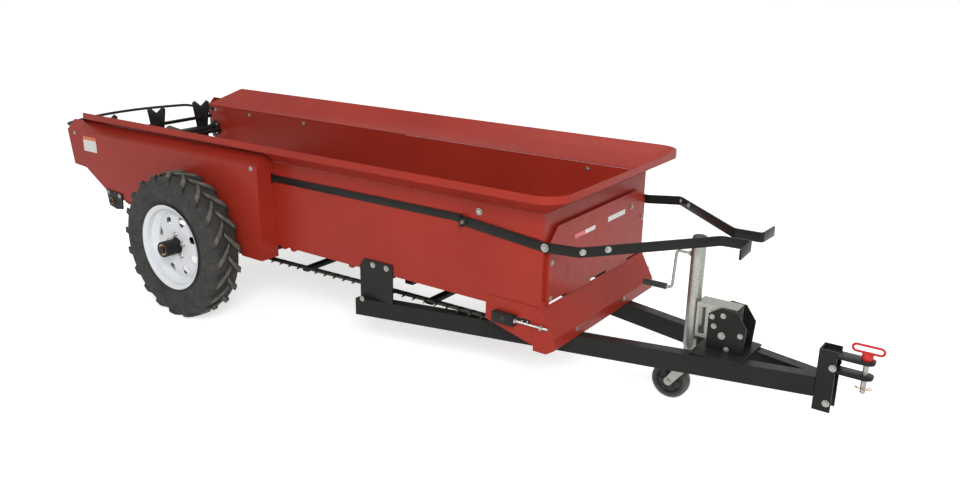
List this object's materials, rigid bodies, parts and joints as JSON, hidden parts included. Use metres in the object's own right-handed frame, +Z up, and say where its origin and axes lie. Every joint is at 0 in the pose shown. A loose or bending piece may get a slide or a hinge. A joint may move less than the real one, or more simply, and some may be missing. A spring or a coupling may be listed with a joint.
{
  "type": "manure spreader",
  "caption": "Compact ground-drive manure spreader: steel hopper with flared rim, rear beater, apron, two lug tyres, A-frame tongue, caster jack and clevis hitch.",
  "frame": {"origin": "middle of the bounding box, on the floor", "axes": "+X towards the hitch, +Y to the machine's left, +Z up"},
  "size_m": [4.367, 1.486, 0.8915],
  "materials": {
    "powder_red": "powder coat",
    "frame_black": "satin",
    "zinc": "zinc plate",
    "wheel_white": "gloss",
    "rubber": "matte",
    "caster_rubber": "satin",
    "pin_red": "satin",
    "deck_wood": "weathered"
  },
  "bodies": {
    "frame": {"box_wall_right": "powder_red", "box_wall_left": "powder_red", "top_rim": "powder_red", "front_wall": "powder_red", "front_guard": "powder_red", "cheek_right": "powder_red", "cheek_left": "powder_red", "front_nose": "powder_red", "side_shield_right": "powder_red", "side_shield_left": "powder_red", "lever_right": "frame_black", "lever_left": "frame_black", "strap_right": "frame_black", "strap_left": "frame_black", "cross_member_rear": "frame_black", "cross_member_mid": "frame_black", "cross_member_front": "frame_black", "apron_shaft_rear": "frame_black", "apron_shaft_front": "frame_black", "apron_bracket_right": "frame_black", "apron_bracket_left": "frame_black", "take_up_right": "frame_black", "take_up_left": "frame_black", "apron_chain": "frame_black", "axle_beam": "frame_black", "axle_bracket_right": "frame_black", "axle_bracket_left": "frame_black", "beater_bearing_right": "frame_black", "beater_bearing_left": "frame_black", "rear_hoop": "frame_black", "tongue_tube_right": "frame_black", "tongue_tube_left": "frame_black", "hanger_plate_right": "frame_black", "hanger_plate_left": "frame_black", "hitch_channel": "frame_black", "clevis": "frame_black", "jack_mount": "frame_black", "hitch_pin": "pin_red", "floor_deck": "deck_wood"},
    "wheel_right": {"wheel_rim_right": "wheel_white", "tyre_right": "rubber", "wheel_hub_right": "frame_black"},
    "wheel_left": {"wheel_rim_left": "wheel_white", "tyre_left": "rubber", "wheel_hub_left": "frame_black"},
    "beater_rotor": {"beater": "frame_black"},
    "jack_upper": {"jack_bracket": "zinc", "jack_tube": "zinc", "jack_crank": "zinc"},
    "jack_lower": {"jack_leg": "zinc"},
    "caster_swivel": {"caster_fork": "zinc"},
    "caster_roller": {"caster_wheel": "caster_rubber"}
  },
  "joints": [
    {"name": "wheel_right_spin", "type": "hinge", "parent": "frame", "child": "wheel_right", "pos_m": [-0.8235, -0.622, 0.354], "axis": [0, 1, 0], "continuous": true},
    {"name": "wheel_left_spin", "type": "hinge", "parent": "frame", "child": "wheel_left", "pos_m": [-0.8235, 0.622, 0.354], "axis": [0, 1, 0], "continuous": true},
    {"name": "beater_spin", "type": "hinge", "parent": "frame", "child": "beater_rotor", "pos_m": [-1.8055, 0, 0.654], "axis": [0, 1, 0], "continuous": true},
    {"name": "jack_swing", "type": "hinge", "parent": "frame", "child": "jack_upper", "pos_m": [1.6345, 0, 0.334], "axis": [0, 1, 0], "range_deg": [0, 90]},
    {"name": "jack_leg_slide", "type": "slide", "parent": "jack_upper", "child": "jack_lower", "axis": [0, 0, 1], "range_m": [-0.15, 0.03]},
    {"name": "caster_swivel_turn", "type": "hinge", "parent": "jack_lower", "child": "caster_swivel", "pos_m": [1.4965, 0, 0.075], "axis": [0, 0, 1], "continuous": true},
    {"name": "caster_wheel_spin", "type": "hinge", "parent": "caster_swivel", "child": "caster_roller", "pos_m": [1.4315, 0, 0.075], "axis": [0, 1, 0], "continuous": true}
  ]
}
